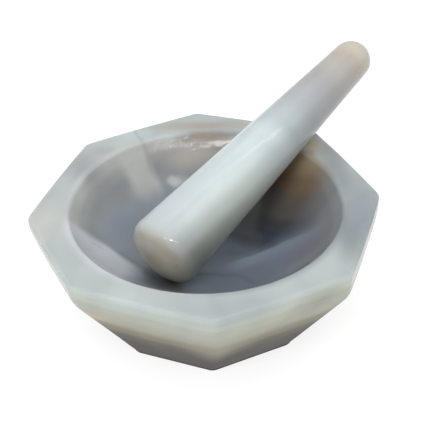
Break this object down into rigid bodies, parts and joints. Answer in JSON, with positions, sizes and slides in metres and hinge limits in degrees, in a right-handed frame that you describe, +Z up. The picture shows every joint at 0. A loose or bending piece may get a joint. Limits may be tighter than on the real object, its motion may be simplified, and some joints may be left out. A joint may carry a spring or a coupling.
{
  "type": "mortar and pestle",
  "caption": "Octagonal agate mortar with a polished round bowl and a loose tapered pestle leaning on its rim.",
  "frame": {"origin": "middle of the mortar's flat base, on the surface it stands on", "axes": "+Z up out of the bowl; +Y to the back; +X to the right; the pestle's slim end points to +X +Y"},
  "size_m": [0.104, 0.1051, 0.0586],
  "materials": {
    "mortar_agate": "polished, banded grey agate",
    "pestle_agate": "polished, pale bluish agate"
  },
  "bodies": {
    "mortar": {"mortar": "mortar_agate"},
    "pestle": {"pestle": "pestle_agate"}
  },
  "joints": [
    {"name": "pestle_lift", "type": "slide", "parent": "mortar", "child": "pestle", "axis": [0, 0, 1], "range_m": [0, 0.06]}
  ]
}
